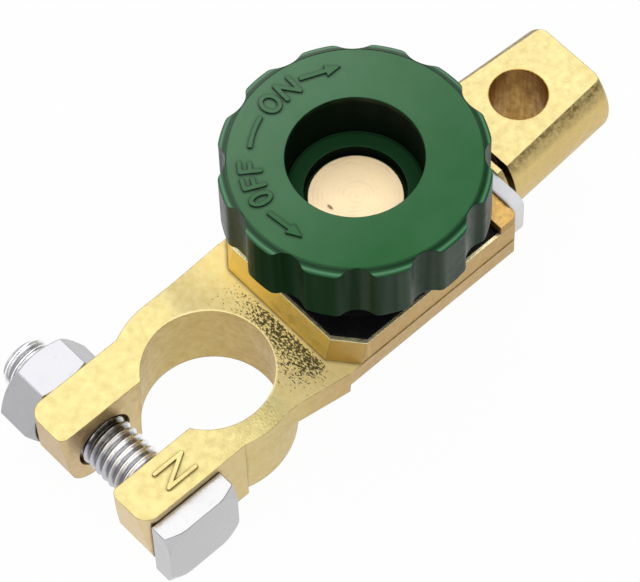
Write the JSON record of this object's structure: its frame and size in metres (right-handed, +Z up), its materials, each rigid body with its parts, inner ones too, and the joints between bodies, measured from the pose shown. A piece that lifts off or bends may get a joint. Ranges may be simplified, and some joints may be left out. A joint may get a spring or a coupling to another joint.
{
  "type": "battery terminal disconnect switch",
  "caption": "Top-post battery clamp with a screw-down disconnect knob and a flat-topped cable post with a cross hole.",
  "frame": {"origin": "on the axis of the clamp bore, at the underside of the clamp ring", "axes": "+Z up along the battery post and the knob axis, +X towards the cable post, +Y towards the clamp nut"},
  "size_m": [0.0895, 0.0401, 0.0378],
  "materials": {
    "cast_brass": "satin forged brass, pale gold",
    "white_nylon": "white nylon",
    "black_plastic": "black moulded plastic",
    "copper": "turned copper alloy",
    "spring_steel": "spring steel",
    "green_plastic": "satin green moulded plastic",
    "zinc_steel": "bright zinc-plated steel"
  },
  "bodies": {
    "clamp": {"clamp_casting": "cast_brass", "insulating_liner": "white_nylon", "cable_terminal": "cast_brass", "end_bridge": "cast_brass", "tray_cover": "black_plastic"},
    "contact": {"contact_washer": "copper", "disc_spring": "spring_steel"},
    "screw": {"contact_stud": "copper", "retaining_ring": "spring_steel", "knob": "green_plastic"},
    "bolt": {"clamp_bolt": "zinc_steel"},
    "nut": {"clamp_nut": "zinc_steel"}
  },
  "joints": [
    {"name": "contact_lift", "type": "slide", "parent": "clamp", "child": "contact", "axis": [0, 0, 1], "range_m": [0, 0.003]},
    {"name": "knob_turn", "type": "hinge", "parent": "contact", "child": "screw", "pos_m": [0.0271, 0, 0], "axis": [0, 0, 1], "range_deg": [0, 720]},
    {"name": "bolt_travel", "type": "slide", "parent": "clamp", "child": "bolt", "axis": [0, -1, 0], "range_m": [0, 0.0025]},
    {"name": "nut_turn", "type": "hinge", "parent": "clamp", "child": "nut", "pos_m": [-0.01465, 0, 0.00625], "axis": [0, 1, 0], "range_deg": [0, 720]}
  ],
  "couplings": [
    {"joint": "knob_turn", "follows": "contact_lift", "rad_per_m": 4188.8},
    {"joint": "nut_turn", "follows": "bolt_travel", "rad_per_m": 5026.5}
  ]
}
